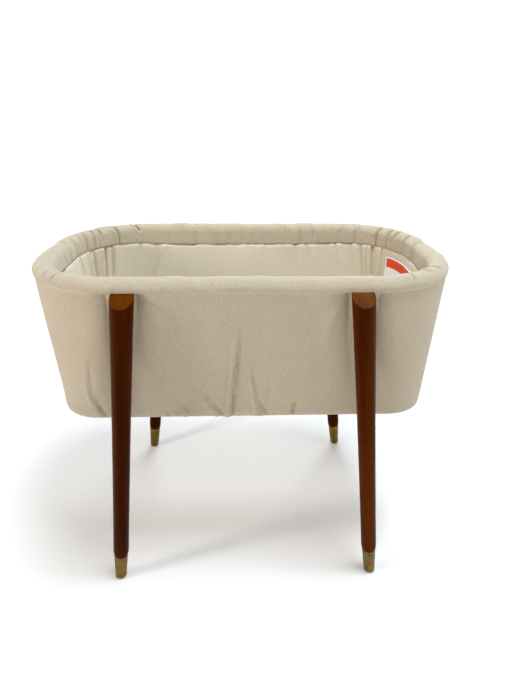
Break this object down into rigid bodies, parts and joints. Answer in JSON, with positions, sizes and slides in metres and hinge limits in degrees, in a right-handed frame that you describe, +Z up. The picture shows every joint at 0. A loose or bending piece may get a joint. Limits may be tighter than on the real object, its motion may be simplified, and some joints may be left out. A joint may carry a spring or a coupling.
{
  "type": "bassinet on stand",
  "caption": "Padded fabric bassinet basket hung between four splayed wood legs with brass ferrules, with a lift-out mattress pad.",
  "frame": {"origin": "on the floor under the middle of the basket", "axes": "+X along the basket's length, +Y across it to the far side, +Z up"},
  "size_m": [0.85, 0.5506, 0.71],
  "materials": {
    "cover_fabric": "matte",
    "liner_fabric": "matte",
    "label_cloth": "matte",
    "elastic": "matte",
    "foam": "matte",
    "ticking": "matte",
    "coated_steel": "satin",
    "bare_steel": "satin",
    "brass": "satin",
    "stained_wood": "gloss",
    "hardboard": "matte",
    "nylon": "matte"
  },
  "bodies": {
    "stand": {"base_board": "hardboard", "base_spigot": "bare_steel", "base_tube": "coated_steel", "board_screws": "bare_steel", "bolt_washers": "bare_steel", "care_label": "label_cloth", "cover_eyelets": "bare_steel", "cross_rail_left": "coated_steel", "cross_rail_right": "coated_steel", "ferrule_front_left": "brass", "ferrule_front_right": "brass", "ferrule_rear_left": "brass", "ferrule_rear_right": "brass", "foot_glide_front_left": "nylon", "foot_glide_front_right": "nylon", "foot_glide_rear_left": "nylon", "foot_glide_rear_right": "nylon", "hem_elastic": "elastic", "inner_liner": "liner_fabric", "leg_bolts": "bare_steel", "leg_front_left": "stained_wood", "leg_front_right": "stained_wood", "leg_inserts": "brass", "leg_rear_left": "stained_wood", "leg_rear_right": "stained_wood", "liner_floor": "liner_fabric", "outer_cover": "cover_fabric", "rim_padding": "foam", "rim_spigots": "bare_steel", "rim_tube_left": "coated_steel", "rim_tube_right": "coated_steel", "tube_rivets": "bare_steel", "under_skirt": "cover_fabric", "upright_front_left": "coated_steel", "upright_front_right": "coated_steel", "upright_rear_left": "coated_steel", "upright_rear_right": "coated_steel"},
    "mattress": {"mattress_core": "foam", "mattress_cover": "ticking"}
  },
  "joints": [
    {"name": "mattress_lift", "type": "slide", "parent": "stand", "child": "mattress", "axis": [0, 0, 1], "range_m": [0, 0.34]}
  ]
}
